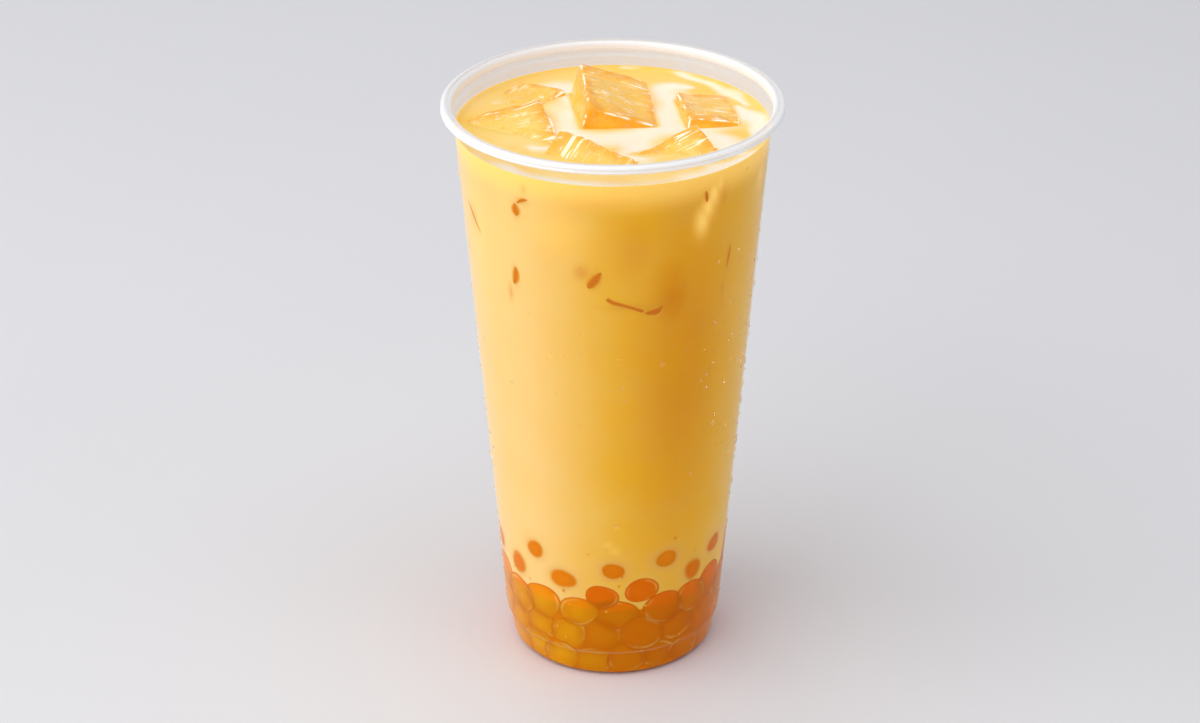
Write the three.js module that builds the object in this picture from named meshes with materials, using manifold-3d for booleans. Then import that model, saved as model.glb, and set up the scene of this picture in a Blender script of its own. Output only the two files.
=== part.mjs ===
// Bubble tea: a clear tapered plastic cup holding milk tea, a heap of amber pearls at the
// bottom, loose pearls hanging in the tea against the wall, and ice blocks that break its surface.
// Millimetres, +Z up, origin at the middle of the foot ring. The front is towards -Y.

import * as THREE from "three";
import { mergeVertices } from "three/addons/utils/BufferGeometryUtils.js";
import Module from "manifold-3d";

const wasm = await Module();
wasm.setup();

// Driving dimensions of the cup
const CUP_HEIGHT = 170;
const RIM_RADIUS = 47.5;
const WALL = 0.8; // also the thickness of the floor
const FOOT_RADIUS = 29.4; // outer edge of the flat ring that the cup stands on
const FOOT_INNER_RADIUS = 26.4;
const RECESS_RADIUS = 25.2; // the underside is raised inside the foot ring
const RECESS_DEPTH = 2.5;
const FLOOR_TOP = RECESS_DEPTH + WALL; // inner floor
const SHOULDER_HEIGHT = 9; // crease where the heel of the cup meets the tapered wall
const SHOULDER_RADIUS = 31.95;
const TAPER = 0.0782; // growth of the radius for each millimetre of height
const LEDGE_HEIGHT = 165.8; // small step under the rim
const CUP_FACETS = 56;
const TEA_FACETS = 48;
const CORE_FACETS = 32;

// Driving dimensions of what the cup holds
const GAP = 0.3; // clearance kept between pieces that touch
const TEA_LEVEL = 162;
const MENISCUS = 1; // the tea climbs this much at the wall
const PEARL_RADIUS = 4.8;
const PEARL_PRESS = 3.5; // distance from a pearl's centre to the flat where the wall presses it
const HEAP_TOP = 26; // the heap is packed up to here, and single pearls stand higher
const HEAP_CORE_INSET = 3; // depth of the hollows between the heap's pearls, seen at the wall
const HEAP_ROWS = 3;
const HEAP_ROW_PEARLS = 18;
const HEAP_FIRST_ROW = 6.3;
const HEAP_ROW_RISE = 8.3;
const LOOSE_BACK_PEARLS = 6;
const ICE_ROUNDING = 1.6; // melted edge radius
const ICE_NARROWING = 0.05; // share by which a block is wider at its top and narrower at its foot

const radians = THREE.MathUtils.degToRad;

// A repeatable draw between 0 and 1
function makeDraw(seed) {
  let state = seed;
  return () => {
    state = (state + 0x6d2b79f5) | 0;
    let t = Math.imul(state ^ (state >>> 15), 1 | state);
    t = (t + Math.imul(t ^ (t >>> 7), 61 | t)) ^ t;
    return ((t ^ (t >>> 14)) >>> 0) / 4294967296;
  };
}

const outerWall = (z) => SHOULDER_RADIUS + TAPER * (z - SHOULDER_HEIGHT);
const innerWall = (z) => outerWall(z) - WALL;

// The heel inside, from the narrow trough over the foot ring up to the tapered wall, as
// [radius, height] pairs
const INNER_HEEL = [
  [FOOT_RADIUS - 0.7, WALL],
  [FOOT_RADIUS, 1.5],
  [FOOT_RADIUS + 0.55, 5],
  [FOOT_RADIUS + 1.05, 7.8],
  [innerWall(SHOULDER_HEIGHT), SHOULDER_HEIGHT],
];

// Radius that the contents may reach at a height: the inside of the cup less the clearance
function contentRadius(z) {
  const above = INNER_HEEL.findIndex(([, height]) => height >= z);
  if (above < 1) {
    return (z < SHOULDER_HEIGHT ? INNER_HEEL[0][0] : innerWall(z)) - GAP;
  }
  const [lowRadius, low] = INNER_HEEL[above - 1];
  const [highRadius, high] = INNER_HEEL[above];
  return THREE.MathUtils.mapLinear(z, low, high, lowRadius, highRadius) - GAP;
}

// Solids and geometry
function solidOf(geometry) {
  const bare = geometry.clone();
  bare.deleteAttribute("normal");
  bare.deleteAttribute("uv");
  const merged = mergeVertices(bare, 1e-4);
  return new wasm.Manifold(
    new wasm.Mesh({
      numProp: 3,
      vertProperties: new Float32Array(merged.attributes.position.array),
      triVerts: new Uint32Array(merged.index.array),
    }),
  );
}

function geometryOf(solid) {
  const mesh = solid.getMesh();
  const geometry = new THREE.BufferGeometry();
  geometry.setAttribute("position", new THREE.BufferAttribute(mesh.vertProperties, 3));
  geometry.setIndex(new THREE.BufferAttribute(mesh.triVerts, 1));
  geometry.computeVertexNormals();
  return geometry;
}

// The largest body of a solid: loose scraps left by a cut are dropped
function largestBody(solid) {
  const bodies = solid.decompose();
  bodies.sort((a, b) => b.volume() - a.volume());
  return bodies[0];
}

// A profile of [radius, height] pairs turned round the Z axis
function turned(profile, facets) {
  const points = profile.map(([radius, height]) => new THREE.Vector2(radius, height));
  return new THREE.LatheGeometry(points, facets).rotateX(Math.PI / 2);
}

// A point on a circle round the axis; the angle is counted from the front, positive to the right
function aroundCup(angle, radius, height) {
  const a = radians(angle);
  return new THREE.Vector3(radius * Math.sin(a), -radius * Math.cos(a), height);
}

// Cup: raised underside and foot ring, heel, tapered wall, ledge and rolled rim, and back down
// inside, as one closed profile
function cupGeometry() {
  const ledgeOuter = outerWall(LEDGE_HEIGHT);
  const profile = [
    [0, RECESS_DEPTH],
    [RECESS_RADIUS, RECESS_DEPTH],
    [FOOT_INNER_RADIUS, 0],
    [FOOT_RADIUS, 0],
    [FOOT_RADIUS + 0.75, 0.8],
    [FOOT_RADIUS + 1.35, 5],
    [FOOT_RADIUS + 1.85, 7.8],
    [SHOULDER_RADIUS, SHOULDER_HEIGHT],
    [ledgeOuter, LEDGE_HEIGHT],
    [ledgeOuter + 0.6, LEDGE_HEIGHT + 0.5],
    [ledgeOuter + 0.9, LEDGE_HEIGHT + 1.9],
    [RIM_RADIUS - 0.9, LEDGE_HEIGHT + 1.7],
    [RIM_RADIUS - 0.2, CUP_HEIGHT - 1.9],
    [RIM_RADIUS, CUP_HEIGHT - 1.1],
    [RIM_RADIUS - 0.35, CUP_HEIGHT - 0.4],
    [RIM_RADIUS - 1.1, CUP_HEIGHT],
    [RIM_RADIUS - 2.2, CUP_HEIGHT],
    [RIM_RADIUS - 2.95, CUP_HEIGHT - 0.4],
    [RIM_RADIUS - 3.3, CUP_HEIGHT - 1.2],
    [ledgeOuter - 0.1, LEDGE_HEIGHT + 1],
    [ledgeOuter - WALL, LEDGE_HEIGHT],
    ...[...INNER_HEEL].reverse(),
    [FOOT_INNER_RADIUS + 0.9, WALL],
    [RECESS_RADIUS + 0.9, FLOOR_TOP],
    [0, FLOOR_TOP],
  ];
  return turned(profile, CUP_FACETS);
}

// The space under the rim that an ice block may fill
function iceSpace() {
  const low = TEA_LEVEL / 2;
  const profile = [
    [0, low],
    [contentRadius(low), low],
    [contentRadius(LEDGE_HEIGHT), LEDGE_HEIGHT],
    [contentRadius(LEDGE_HEIGHT), CUP_HEIGHT],
    [0, CUP_HEIGHT],
  ];
  return solidOf(turned(profile, TEA_FACETS));
}

// A pearl is a ball with few sides, squashed unevenly, turned at random and pressed flat by the
// wall and floor: what would stand out of the contents' space is moved back to its edge
function pearlBall(centre, ball, draw, grow, ceiling) {
  ball.scale(1, 0.92 + 0.16 * draw(), 0.94 + 0.1 * draw());
  const turn = new THREE.Euler(6 * draw(), 6 * draw(), 6 * draw());
  ball.applyMatrix4(new THREE.Matrix4().makeRotationFromEuler(turn));
  ball.translate(centre.x, centre.y, centre.z);
  const position = ball.attributes.position;
  for (let i = 0; i < position.count; i++) {
    const z = THREE.MathUtils.clamp(position.getZ(i), FLOOR_TOP + GAP, ceiling);
    const reach = Math.hypot(position.getX(i), position.getY(i));
    const pull = Math.min(1, (contentRadius(z) + grow) / reach);
    position.setXYZ(i, pull * position.getX(i), pull * position.getY(i), z);
  }
  return solidOf(ball);
}

// Where each loose pearl shows at the wall: angle from the front, and height
const FRONT_PEARLS = [
  [-76.9, 34.8],
  [-55.2, 32.6],
  [-41.1, 41],
  [-25.2, 33.7],
  [0.2, 38.4],
  [27, 40.6],
  [43.6, 33.4],
  [60.1, 38],
];

function loosePearlPlaces() {
  const draw = makeDraw(5);
  const places = [...FRONT_PEARLS];
  const spacing = 200 / LOOSE_BACK_PEARLS;
  for (let i = 0; i < LOOSE_BACK_PEARLS; i++) {
    const angle = 82 + spacing * i + 5 * draw();
    const height = 33 + 5 * (i % 2) + 3 * draw();
    places.push([angle, height]);
  }
  return places;
}

// Rows of pearls packed at the wall, each row shifted by half a pearl
function heapPearlPlaces() {
  const draw = makeDraw(11);
  const places = [];
  const pitch = 360 / HEAP_ROW_PEARLS;
  for (let row = 0; row < HEAP_ROWS; row++) {
    for (let i = 0; i < HEAP_ROW_PEARLS; i++) {
      const angle = -179 + pitch * (i + 0.5 * (row % 2)) + 2 * (draw() - 0.5);
      const height = HEAP_FIRST_ROW + HEAP_ROW_RISE * row + 0.8 * (draw() - 0.5);
      places.push([angle, height]);
    }
  }
  return places;
}

// Pearls that stand out of the heap's top: those that show at the front, as angle and height,
// then unevenly spaced ones round the back
const FRONT_CREST = [
  [-74, 28],
  [-38, 26.2],
  [-4.9, 28.4],
  [14.7, 30.8],
  [40, 26],
  [62, 28.6],
];
const BACK_CREST_ANGLES = [86, 118, 152, 195, 232, 262];

function crestPearlPlaces() {
  const draw = makeDraw(3);
  const back = BACK_CREST_ANGLES.map((angle) => [angle, HEAP_TOP + 0.8 + 3 * draw()]);
  return [...FRONT_CREST, ...back];
}

function pearlCentre([angle, height]) {
  return aroundCup(angle, contentRadius(height) - PEARL_PRESS, height);
}

// Loose pearls at the given places, larger than true by `grow`
function loosePearls(places, grow = 0) {
  const draw = makeDraw(21);
  return places.map((place) => {
    const ball = new THREE.IcosahedronGeometry(PEARL_RADIUS + grow, 1);
    return pearlBall(pearlCentre(place), ball, draw, grow, TEA_LEVEL);
  });
}

// The heap's pearls have fewer sides, and none stands higher than `ceiling`
function heapPearls(places, seed, ceiling, grow = 0) {
  const draw = makeDraw(seed);
  return places.map((place) => {
    const ball = new THREE.DodecahedronGeometry(1.03 * PEARL_RADIUS + grow);
    return pearlBall(pearlCentre(place), ball, draw, grow, ceiling);
  });
}

// The heap's core, which the pearls at the wall are fused to
function heapCore() {
  const floor = FLOOR_TOP + GAP;
  const top = HEAP_TOP - 0.2;
  const bevel = 1.5;
  const reach = (z) => contentRadius(z) - HEAP_CORE_INSET;
  const profile = [
    [0, floor],
    [reach(floor), floor],
    [reach(SHOULDER_HEIGHT), SHOULDER_HEIGHT],
    [reach(top), top - bevel],
    [reach(top) - bevel, top],
    [0, top],
  ];
  return solidOf(turned(profile, CORE_FACETS));
}

const joined = (solids) => solids.reduce((sum, solid) => sum.add(solid));
const cutBy = (solid, cutters) => cutters.reduce((rest, cutter) => rest.subtract(cutter), solid);

// Ice blocks: centre, edge lengths and turns in degrees. Each is tilted, so that one corner
// or one edge stands out of the tea
const ICE_BLOCKS = {
  ice_back: { centre: [-2.1, 13.3, 155.1], size: [20, 23.6, 22.4], turn: [4, 20, 6] },
  ice_left: { centre: [-27.5, -2.9, 154.1], size: [23, 22, 17], turn: [15, -9, -164] },
  ice_right: { centre: [25.5, 9.2, 154], size: [14.4, 20.4, 18], turn: [-3, 8, 9] },
  ice_front_left: { centre: [-7.8, -23.4, 154], size: [19.6, 24, 14], turn: [32, -11, -121] },
  ice_front_right: { centre: [18, -20.2, 154.2], size: [23, 20, 13.5], turn: [29, -2, -149] },
  ice_rear_left: { centre: [-24, 21.6, 155.3], size: [15, 15, 14], turn: [3, -4, -124] },
};

// A block with rounded edges that narrows a little downwards. Each face of the box has three
// cells a side: the outer ones become the rounding, the middle one stays flat
function iceBlock({ centre, size, turn }, grow = 0) {
  const cells = 3;
  const [width, depth, height] = size.map((length) => length + 2 * grow);
  const rounding = ICE_ROUNDING + grow;
  const block = new THREE.BoxGeometry(width, depth, height, cells, cells, cells);
  const position = block.attributes.position;
  const half = new THREE.Vector3(width / 2, depth / 2, height / 2);
  for (let i = 0; i < position.count; i++) {
    const point = new THREE.Vector3().fromBufferAttribute(position, i);
    const core = new THREE.Vector3();
    const away = new THREE.Vector3();
    for (const axis of ["x", "y", "z"]) {
      const share = point[axis] / half[axis];
      core[axis] = Math.sign(share) * (half[axis] - rounding);
      away[axis] = Math.abs(share) > 0.99 ? Math.sign(share) : 0;
    }
    point.copy(core).addScaledVector(away.normalize(), rounding);
    const narrowing = 1 + ICE_NARROWING * (point.z / half.z);
    position.setXYZ(i, point.x * narrowing, point.y * narrowing, point.z);
  }
  const [x, y, z] = turn.map(radians);
  block.applyMatrix4(new THREE.Matrix4().makeRotationFromEuler(new THREE.Euler(x, y, z, "XYZ")));
  block.translate(...centre);
  return solidOf(block);
}

// Tea: fills the cup from the heap to its level, cut round every ice block and pearl
function teaBody(cutters) {
  const bottom = HEAP_TOP + GAP;
  const edge = contentRadius(TEA_LEVEL + MENISCUS);
  const profile = [
    [0, bottom],
    [contentRadius(bottom), bottom],
    [edge, TEA_LEVEL + MENISCUS],
    [edge - 0.8, TEA_LEVEL + 0.3 * MENISCUS],
    [edge - 2.2, TEA_LEVEL],
    [0, TEA_LEVEL],
  ];
  return largestBody(cutBy(solidOf(turned(profile, TEA_FACETS)), cutters));
}

// Materials
function material(color, roughness, opacity = 1) {
  const transparent = opacity < 1;
  return new THREE.MeshStandardMaterial({ color, roughness, metalness: 0, opacity, transparent });
}
const clearPlastic = material(0xeeeeea, 0.2, 0.35);
const milkTea = material(0xf5c355, 0.45);
const heapAmber = material(0xd8831a, 0.35);
const looseAmber = material(0xe0801e, 0.3);
const ice = material(0xf2c75c, 0.12, 0.8);

const drink = new THREE.Group();
drink.name = "bubble_tea";

function addPiece(name, geometry, finish) {
  const piece = new THREE.Mesh(geometry, finish);
  piece.name = name;
  drink.add(piece);
}

// Assembly
const loosePlaces = loosePearlPlaces();
const crestPlaces = crestPearlPlaces();
const looseGrown = loosePearls(loosePlaces, GAP);
const crestGrown = heapPearls(crestPlaces, 23, TEA_LEVEL, GAP);

addPiece("cup", cupGeometry(), clearPlastic);

const packed = heapPearls(heapPearlPlaces(), 22, HEAP_TOP);
const crest = heapPearls(crestPlaces, 23, TEA_LEVEL);
const heap = joined([heapCore(), ...packed, ...crest]);
addPiece("pearl_heap", geometryOf(largestBody(cutBy(heap, looseGrown))), heapAmber);

loosePearls(loosePlaces).forEach((ball, i) => {
  addPiece("pearl_" + String(i + 1).padStart(2, "0"), geometryOf(ball), looseAmber);
});

const iceNames = Object.keys(ICE_BLOCKS);
const iceGrown = iceNames.map((name) => iceBlock(ICE_BLOCKS[name], GAP));
iceNames.forEach((name, i) => {
  // A block gives way to the ones named before it
  const whole = iceBlock(ICE_BLOCKS[name]).intersect(iceSpace());
  addPiece(name, geometryOf(largestBody(cutBy(whole, iceGrown.slice(0, i)))), ice);
});

const tea = teaBody([...crestGrown, ...looseGrown, ...iceGrown]);
addPiece("milk_tea", geometryOf(tea), milkTea);

export default drink;
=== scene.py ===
# %% [markdown]
# Bubble tea in a clear plastic cup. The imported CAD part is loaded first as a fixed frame: it
# gives the size and the place of every piece, and stays as it is. Each piece that shows is then
# made anew as a finer surface round the same sizes, and hides the faceted solid it stands for.

import bmesh
import bpy
import numpy as np
from mathutils import Euler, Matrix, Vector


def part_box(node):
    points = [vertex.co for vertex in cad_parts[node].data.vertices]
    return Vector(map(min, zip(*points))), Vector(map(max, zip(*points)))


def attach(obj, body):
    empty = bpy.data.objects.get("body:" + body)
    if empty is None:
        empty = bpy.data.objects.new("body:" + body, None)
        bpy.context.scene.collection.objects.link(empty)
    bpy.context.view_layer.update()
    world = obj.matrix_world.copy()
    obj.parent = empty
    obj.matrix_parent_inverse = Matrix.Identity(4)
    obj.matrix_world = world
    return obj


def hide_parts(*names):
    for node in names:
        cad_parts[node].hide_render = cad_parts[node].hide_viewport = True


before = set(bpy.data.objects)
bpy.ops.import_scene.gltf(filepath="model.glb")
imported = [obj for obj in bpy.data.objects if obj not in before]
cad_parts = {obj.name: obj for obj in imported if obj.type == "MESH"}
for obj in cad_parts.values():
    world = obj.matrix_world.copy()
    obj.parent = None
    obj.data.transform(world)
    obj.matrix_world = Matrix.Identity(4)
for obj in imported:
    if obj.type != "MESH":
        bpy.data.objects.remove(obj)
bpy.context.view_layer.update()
print("CAD nodes:", len(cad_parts))

# %% [markdown]
# Sizes are in millimetres, and only the mesh maker below turns them into metres. The cup's
# height and rim and the tea's level are read from the frame. The rest of the cup's outline
# repeats the few dimensions that the CAD part is driven by.

# %% Sizes
MM = 0.001
cup_high = np.array(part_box("cup")[1]) / MM
tea_high = np.array(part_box("milk_tea")[1]) / MM

CUP_HEIGHT = float(cup_high[2])
RIM_RADIUS = float(cup_high[0])
WALL = 0.8
FOOT_RADIUS = 29.4
FOOT_INNER_RADIUS = 26.4
RECESS_RADIUS = 25.2
RECESS_DEPTH = 2.5
SHOULDER_HEIGHT = 9.0
SHOULDER_RADIUS = 31.95
TAPER = 0.0782
LEDGE_HEIGHT = 165.8
MENISCUS = 1.0
TEA_LEVEL = float(tea_high[2]) - MENISCUS
HEAP_TOP = 24.0
print("cup", CUP_HEIGHT, "high, rim radius", RIM_RADIUS, "tea level", TEA_LEVEL)

# %% [markdown]
# The cup is a surface of revolution, so most places in this scene are given as an angle round
# the axis, counted from the front and positive to the right, and a height. Two functions give
# the wall's radius at a height, outside and inside, and one turns an angle, a radius and a
# height into a point.

# %% Places on the cup
HEEL_HEIGHTS = np.array([0.8, 1.5, 5.0, 7.8, SHOULDER_HEIGHT])
HEEL_INSIDE = np.array([28.7, 29.4, 29.95, 30.45, SHOULDER_RADIUS - WALL])
HEEL_OUTSIDE = np.array([30.15, 30.3, 30.75, 31.25, SHOULDER_RADIUS])


def outer_wall(z):
    """Outer radius: straight above the shoulder, growing by TAPER for each millimetre, and
    along the heel's measured points below it."""
    straight = SHOULDER_RADIUS + TAPER * (z - SHOULDER_HEIGHT)
    return np.where(z < SHOULDER_HEIGHT, np.interp(z, HEEL_HEIGHTS, HEEL_OUTSIDE), straight)


def inner_wall(z):
    """Inner radius: the outer one less the wall, and the heel's inside below the shoulder."""
    straight = SHOULDER_RADIUS - WALL + TAPER * (z - SHOULDER_HEIGHT)
    return np.where(z < SHOULDER_HEIGHT, np.interp(z, HEEL_HEIGHTS, HEEL_INSIDE), straight)


def around_cup(angle, radius, z):
    """x = r sin a, y = -r cos a: the angle is in degrees from the front."""
    angle, radius, z = np.broadcast_arrays(np.radians(angle), radius, z)
    return np.stack([radius * np.sin(angle), -radius * np.cos(angle), z], axis=-1)


def by_wall(wall, angle, height, across, up, lift):
    """The point `across` and `up` millimetres along a wall from (angle, height), and `lift`
    out of it: the arc length turns into an angle at the wall's radius there."""
    z = height + up
    return around_cup(angle + np.degrees(across / wall(height)), wall(z) + lift, z)


# %% [markdown]
# Every new piece is a grid of points: rows run along a profile or away from a pole, columns go
# round. One helper numbers the grid's faces, and one puts points, faces and named values for
# each point (a mask that a material reads) into a mesh, closes its poles and smooths it.

# %% Grids into meshes
WELD = 0.002
SHARP_ANGLE = np.radians(38)


def grid_faces(rows, columns, copies=1):
    """The four vertex numbers of each cell of a grid closed in its columns, for as many copies
    of the grid as there are, one after another. Rows that climb while columns go round
    anticlockwise, seen from above, give faces that point outwards."""
    row, column = np.meshgrid(np.arange(rows - 1), np.arange(columns), indexing="ij")
    beside = (column + 1) % columns
    corners = [row * columns + column, row * columns + beside]
    corners += [(row + 1) * columns + beside, (row + 1) * columns + column]
    cells = np.stack(corners, axis=-1).reshape(-1, 4)
    steps = np.arange(copies) * rows * columns
    return (cells[None] + steps[:, None, None]).reshape(-1, 4)


def set_masks(mesh, masks):
    """Writes each named array, one value or one vector for each point, as an attribute."""
    for name, values in masks.items():
        values = np.asarray(values, np.float32).reshape(len(mesh.vertices), -1)
        single = values.shape[1] == 1
        kind, field = ("FLOAT", "value") if single else ("FLOAT_VECTOR", "vector")
        attribute = mesh.attributes.get(name) or mesh.attributes.new(name, kind, "POINT")
        attribute.data.foreach_set(field, values.ravel())


def smooth(mesh):
    mesh.shade_smooth()
    mesh.set_sharp_from_angle(angle=SHARP_ANGLE)


def make_mesh(name, points, faces, masks=None):
    """A mesh in metres from points in millimetres. Points that share a place, as at a pole or
    a seam, are merged, so the surface is closed."""
    mesh = bpy.data.meshes.new(name)
    mesh.from_pydata(points.reshape(-1, 3) * MM, [], faces)
    set_masks(mesh, masks or {})
    shell = bmesh.new()
    shell.from_mesh(mesh)
    bmesh.ops.remove_doubles(shell, verts=shell.verts, dist=WELD * MM)
    shell.to_mesh(mesh)
    shell.free()
    smooth(mesh)
    return mesh


def add_object(name, mesh):
    piece = bpy.data.objects.new(name, mesh)
    bpy.context.scene.collection.objects.link(piece)
    return piece


def show_piece(name, mesh, finish, stands_for=()):
    """Links a mesh as a piece of the object, fixed to the CAD body."""
    mesh.materials.clear()
    mesh.materials.append(finish.material)
    piece = add_object(name, mesh)
    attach(piece, "root")
    if stands_for:
        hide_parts(*stands_for)
    print(name, "has", sum(len(p.vertices) - 2 for p in mesh.polygons), "triangles")
    return piece


def points_of(mesh):
    """A mesh's points as an array in millimetres."""
    flat = np.empty(3 * len(mesh.vertices), np.float32)
    mesh.vertices.foreach_get("co", flat)
    return flat.reshape(-1, 3).astype(float) / MM


# %% [markdown]
# Two ways to get a profile: points at most a given step apart along straight lines, and a
# smooth line through a few points. A third helper carries a profile round the axis. Two more
# give a smooth uneven swell and a soft step from 0 to 1.

# %% Profiles
def straight(points, step):
    """Points along straight spans, each span cut into equal parts no longer than the step."""
    points = np.asarray(points, float)
    lengths = np.linalg.norm(np.diff(points, axis=0), axis=1)
    parts = [np.linspace(a, b, max(1, int(np.ceil(length / step))), endpoint=False)
             for a, b, length in zip(points[:-1], points[1:], lengths)]
    return np.vstack([*parts, points[-1:]])


def curve(points, parts):
    """A smooth line through the points: between two of them it is the cubic whose slope at
    each is half the step between that point's neighbours."""
    points = np.asarray(points, float)
    ends = np.vstack([2 * points[0] - points[1], points, 2 * points[-1] - points[-2]])
    a, b, c, d = ends[:-3, None], ends[1:-2, None], ends[2:-1, None], ends[3:, None]
    t = np.linspace(0, 1, parts, endpoint=False)[None, :, None]
    line = b + 0.5 * t * (c - a + t * (2 * a - 5 * b + 4 * c - d + t * (3 * (b - c) + d - a)))
    return np.vstack([line.reshape(-1, points.shape[1]), points[-1:]])


def turned(profile, angles):
    """Carries [radius, height] rows round the axis through the given angles."""
    profile = np.asarray(profile)
    return around_cup(angles[None, :], profile[:, :1], profile[:, 1:])


def waves(points, size, draw, count=7):
    """A smooth uneven swell, mostly between -1 and 1: the sum of sine waves about `size`
    millimetres long in random directions."""
    directions = draw.normal(size=(count, points.shape[-1]))
    directions /= np.linalg.norm(directions, axis=1, keepdims=True)
    directions *= 2 * np.pi / (size * draw.uniform(0.7, 1.5, (count, 1)))
    phases = draw.uniform(0, 2 * np.pi, count)
    return np.sin(points @ directions.T + phases).sum(axis=-1) / np.sqrt(count)


def fade(values, low, high):
    """0 below low, 1 above high, and an S-curve 3t^2 - 2t^3 between."""
    t = np.clip((values - low) / (high - low), 0, 1)
    return t * t * (3 - 2 * t)


# %% [markdown]
# Materials are node trees. So that shader maths reads like maths, one class wraps a node's
# output and turns + - * / into Math nodes, and one class holds a material and adds any other
# node from its type, its settings and its inputs. Colours are given as they look on a screen,
# from 0 to 255, and turned into amounts of light.

# %% Shader maths
class Field:
    """A node's output, on which arithmetic adds Math nodes."""

    def __init__(self, finish, socket):
        self.finish, self.socket = finish, socket

    def math(self, operation, first, second=0.0, clamp=False):
        settings = {"operation": operation, "use_clamp": clamp}
        return self.finish.node("ShaderNodeMath", settings, {0: first, 1: second})

    def __add__(self, other):
        return self.math("ADD", self, other)

    def __sub__(self, other):
        return self.math("SUBTRACT", self, other)

    def __rsub__(self, other):
        return self.math("SUBTRACT", other, self)

    def __mul__(self, other):
        return self.math("MULTIPLY", self, other)

    def __pow__(self, other):
        return self.math("POWER", self, other)

    def clipped(self):
        return self.math("ADD", self, 0.0, clamp=True)

    __radd__ = __add__
    __rmul__ = __mul__


class Finish:
    """A material and the nodes that make it."""

    def __init__(self, name):
        self.material = bpy.data.materials.new(name)
        self.material.use_nodes = True
        self.tree = self.material.node_tree
        self.tree.nodes.clear()

    def node(self, kind, settings=None, inputs=None, output=0):
        """Adds a node: first its settings, then a number, colour or link for each input."""
        made = self.tree.nodes.new(kind)
        for key, value in (settings or {}).items():
            setattr(made, key, value)
        for key, value in (inputs or {}).items():
            if isinstance(value, Field):
                self.tree.links.new(value.socket, made.inputs[key])
            else:
                made.inputs[key].default_value = value
        return Field(self, made.outputs[output]) if made.outputs else None

    def mix(self, factor, first, second):
        """One colour passing into another as the factor goes from 0 to 1."""
        inputs = {0: factor, 6: first, 7: second}
        return self.node("ShaderNodeMix", {"data_type": "RGBA"}, inputs, output=2)

    def mask(self, name):
        """A value that the mesh carries for each of its points."""
        return self.node("ShaderNodeAttribute", {"attribute_name": name}, output=2)

    def place(self, stretch=(1, 1, 1), attribute=None):
        """The point's own place, or a place kept in an attribute, stretched along each axis."""
        if attribute:
            vector = self.node("ShaderNodeAttribute", {"attribute_name": attribute}, output=1)
        else:
            vector = self.node("ShaderNodeTexCoord", output=3)
        return self.node("ShaderNodeMapping", {}, {"Vector": vector, "Scale": stretch})

    def noise(self, size, detail=2.0, stretch=(1, 1, 1), attribute=None, distortion=0.0):
        """Smooth noise from 0 to 1 with blotches about `size` millimetres across."""
        inputs = {"Vector": self.place(stretch, attribute), "Scale": 1 / (size * MM)}
        inputs |= {"Detail": detail, "Distortion": distortion}
        return self.node("ShaderNodeTexNoise", {}, inputs)

    def bump(self, height, distance, strength=1.0):
        """Turns a height map into bent normals; the distance is the relief in millimetres."""
        inputs = {"Height": height, "Distance": distance * MM, "Strength": strength}
        return self.node("ShaderNodeBump", {}, inputs)

    def rise(self, value, start, full):
        """0 where a value is the start, climbing evenly to 1 where it is full. With the start
        above full, it falls as the value climbs."""
        return ((value - start) * (1 / (full - start))).clipped()

    def near(self, value, middle, reach):
        """1 where a value is the middle, falling to 0 at the given reach on both sides."""
        away = self.node("ShaderNodeMath", {"operation": "ABSOLUTE"}, {0: value - middle})
        return (1 - away * (1 / reach)).clipped()

    def surface(self, **inputs):
        """A Principled surface; input names are written with _ for a space."""
        named = {key.replace("_", " "): value for key, value in inputs.items()}
        return self.node("ShaderNodeBsdfPrincipled", {}, named)

    def blend(self, factor, first, second):
        """One surface passing into another as the factor goes from 0 to 1."""
        return self.node("ShaderNodeMixShader", {}, {0: factor, 1: first, 2: second})

    def clear(self, colour):
        """Light goes straight through, tinted by the colour."""
        return self.node("ShaderNodeBsdfTransparent", {}, {"Color": colour})

    def finish_with(self, shader):
        self.node("ShaderNodeOutputMaterial", {}, {"Surface": shader})
        return self


def shade(red, green, blue):
    """A screen colour as linear light, with the fourth number that a colour socket takes."""
    value = np.array([red, green, blue]) / 255
    linear = np.where(value <= 0.04045, value / 12.92, ((value + 0.055) / 1.055) ** 2.4)
    return (*(float(v) for v in linear), 1.0)


BLACK = shade(0, 0, 0)


# %% [markdown]
# The cup is injection moulded in clear plastic that is a little milky. Its foot is a flat ring
# round a raised underside, a short heel ends in a crease, the wall is straight and tapered, a
# small step sits under the rim, and the rim itself is rolled, with a shallow groove outside.
# It could be a thin sheet with a Solidify modifier, but one closed profile, down the outside
# and back up the inside, keeps the real thickness of each part.

# %% Cup shape
CUP_COLUMNS = 224
WALL_STEP, HEEL_STEP = 4.0, 1.5
HEEL_PARTS, RIM_PARTS = 4, 5
FLOOR_BEND = 0.9  # the floor bends this far outside the bend of the underside
ledge_radius = float(outer_wall(LEDGE_HEIGHT))

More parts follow.
